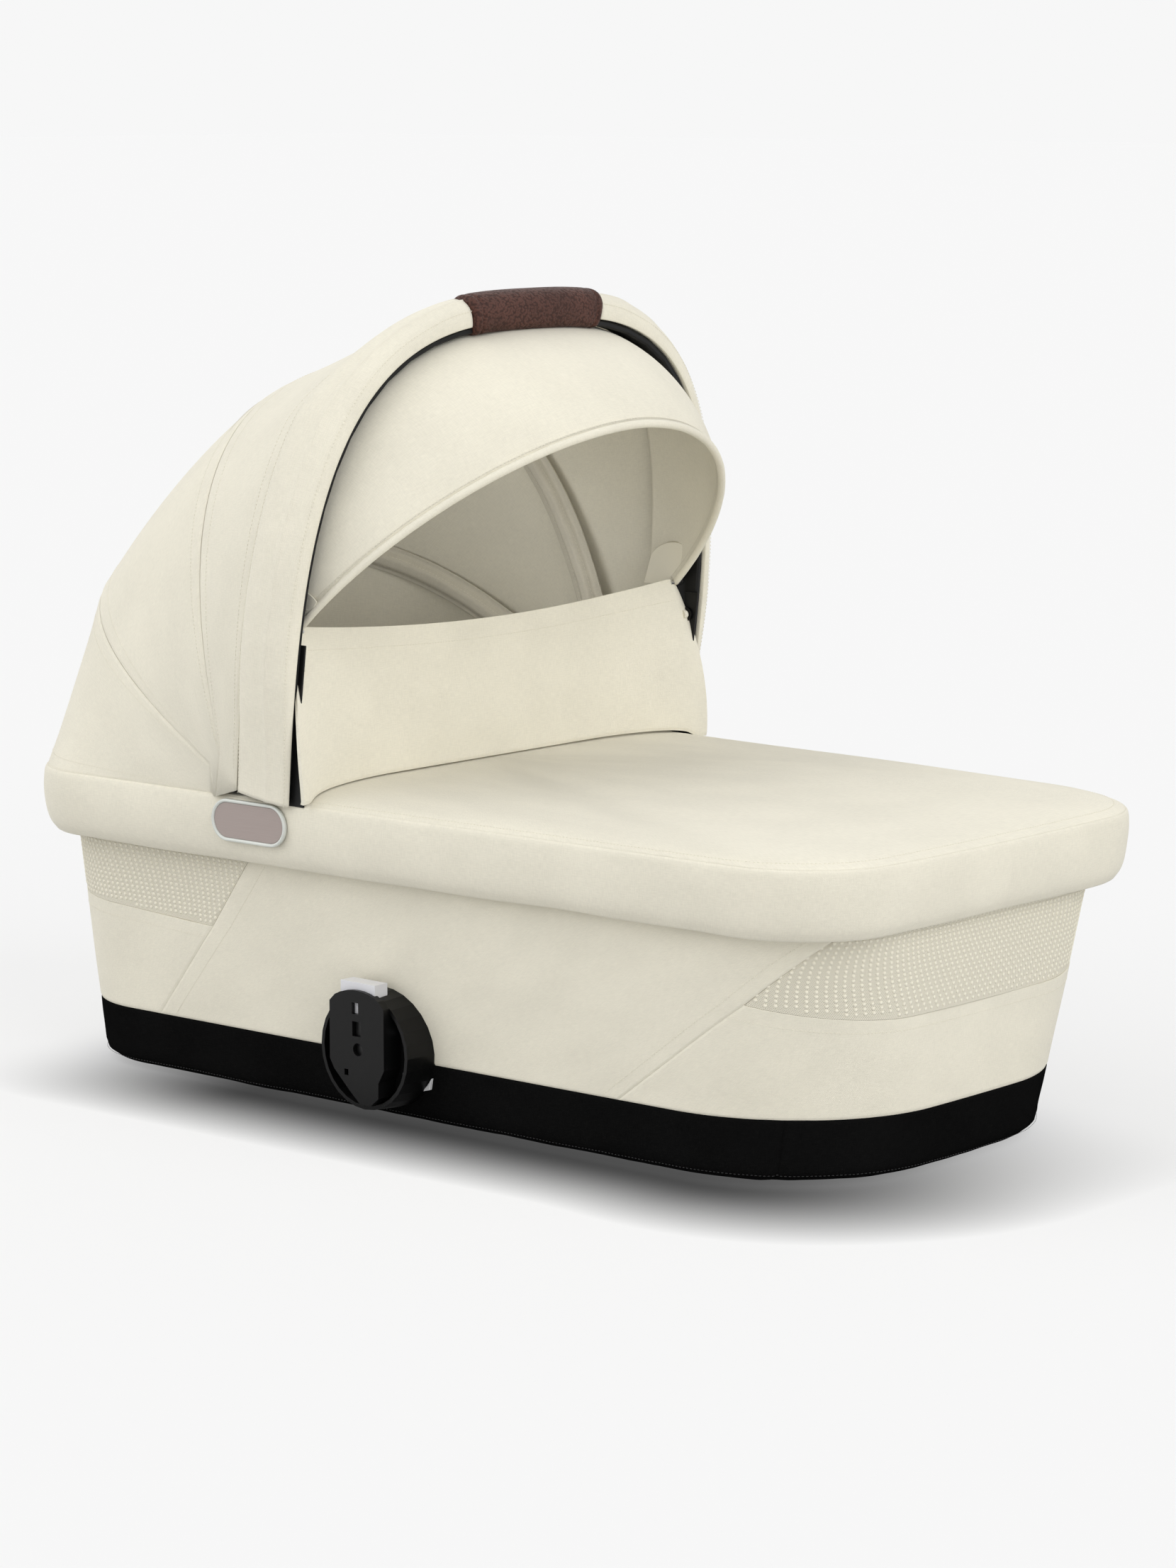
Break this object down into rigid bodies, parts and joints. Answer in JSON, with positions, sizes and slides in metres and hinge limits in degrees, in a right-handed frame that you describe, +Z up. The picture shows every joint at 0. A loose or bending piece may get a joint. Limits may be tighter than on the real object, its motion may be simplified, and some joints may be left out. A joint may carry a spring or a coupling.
{
  "type": "pushchair carrycot",
  "caption": "Soft-covered carrycot with an apron, wind flap, folding hood with leather grip, sun visor, mattress and side adapters for a pushchair frame.",
  "frame": {"origin": "on the floor, at the middle of the bounding box seen from above", "axes": "+X from the head end to the foot end, +Y across towards the right-hand side, +Z up"},
  "size_m": [0.817, 0.4804, 0.5988],
  "materials": {
    "cream_fabric": "woven cream cover fabric, matt",
    "cream_mesh": "knitted cream ventilation mesh",
    "lining_fabric": "soft cotton lining, matt",
    "mattress_cover": "soft mattress cover over foam",
    "black_fabric": "dense black woven fabric",
    "black_plastic": "moulded black plastic with a fine grain",
    "grey_plastic": "pale grey moulded plastic",
    "leather": "dark brown pebbled leather",
    "steel": "plain steel",
    "aluminium": "drawn tube",
    "badge_plastic": "bare taupe plate with a pale rim",
    "board": "hardboard",
    "foot_rubber": "black moulded rubber"
  },
  "bodies": {
    "cot": {"side_cover": "cream_fabric", "rim_band": "cream_fabric", "apron": "cream_fabric", "vent_mesh_foot": "cream_mesh", "vent_mesh_head": "cream_mesh", "lining": "lining_fabric", "mattress": "mattress_cover", "boot_band": "black_fabric", "base_tub": "black_plastic", "adapter_housing_left": "black_plastic", "adapter_housing_right": "black_plastic", "adapter_plate_left": "black_plastic", "adapter_plate_right": "black_plastic", "side_column_left": "black_plastic", "side_column_right": "black_plastic", "hub_bracket_left": "black_plastic", "hub_bracket_right": "black_plastic", "pivot_pin_left": "steel", "pivot_pin_right": "steel", "release_spring_left": "steel", "release_spring_right": "steel", "adapter_screw_upper_left": "steel", "adapter_screw_upper_right": "steel", "adapter_screw_lower_left": "steel", "adapter_screw_lower_right": "steel", "rim_hoop": "aluminium", "badge_left": "badge_plastic", "badge_right": "badge_plastic", "floor_board": "board", "base_pad_head_left": "foot_rubber", "base_pad_head_right": "foot_rubber", "base_pad_foot_left": "foot_rubber", "base_pad_foot_right": "foot_rubber"},
    "rear_bow": {"rear_bow": "steel", "canopy_rear": "cream_fabric"},
    "middle_bow": {"middle_bow": "steel", "canopy_middle": "cream_fabric"},
    "handle": {"handle_core": "black_plastic", "grip": "leather", "canopy_front": "cream_fabric", "handle_sleeve_left": "cream_fabric", "handle_sleeve_right": "cream_fabric", "popper_stud_left": "steel", "popper_stud_right": "steel", "visor_pivot_left": "steel", "visor_pivot_right": "steel"},
    "visor": {"visor_hem": "cream_fabric", "visor_panel": "cream_fabric"},
    "flap": {"wind_flap": "cream_fabric", "popper_socket_left": "steel", "popper_socket_right": "steel"},
    "button_left": {"release_button_left": "grey_plastic"},
    "button_right": {"release_button_right": "grey_plastic"}
  },
  "joints": [
    {"name": "rear_bow_hinge", "type": "hinge", "parent": "cot", "child": "rear_bow", "pos_m": [-0.138, 0, 0.243], "axis": [0, -1, 0], "range_deg": [0, 20.81], "deforming": ["canopy_rear"]},
    {"name": "middle_bow_hinge", "type": "hinge", "parent": "rear_bow", "child": "middle_bow", "pos_m": [-0.138, 0, 0.243], "axis": [0, -1, 0], "range_deg": [0, 37.41], "deforming": ["canopy_middle"]},
    {"name": "handle_hinge", "type": "hinge", "parent": "middle_bow", "child": "handle", "pos_m": [-0.138, 0, 0.243], "axis": [0, -1, 0], "range_deg": [0, 20.05], "deforming": ["canopy_front"]},
    {"name": "visor_hinge", "type": "hinge", "parent": "handle", "child": "visor", "pos_m": [-0.0774, 0, 0.3576], "axis": [0, -1, 0], "range_deg": [0, 22]},
    {"name": "flap_hinge", "type": "hinge", "parent": "cot", "child": "flap", "pos_m": [-0.0495, 0, 0.2395], "axis": [0, 1, 0], "range_deg": [0, 98]},
    {"name": "button_left_slide", "type": "slide", "parent": "cot", "child": "button_left", "axis": [0, 0, -1], "range_m": [0, 0.005], "stiffness_N_per_m": 600, "springref_m": -0.002, "deforming": ["release_spring_left"]},
    {"name": "button_right_slide", "type": "slide", "parent": "cot", "child": "button_right", "axis": [0, 0, -1], "range_m": [0, 0.005], "stiffness_N_per_m": 600, "springref_m": -0.002, "deforming": ["release_spring_right"]}
  ],
  "couplings": [
    {"joint": "rear_bow_hinge", "follows": "handle_hinge", "ratio": 1.0374},
    {"joint": "middle_bow_hinge", "follows": "handle_hinge", "ratio": 1.8653}
  ]
}
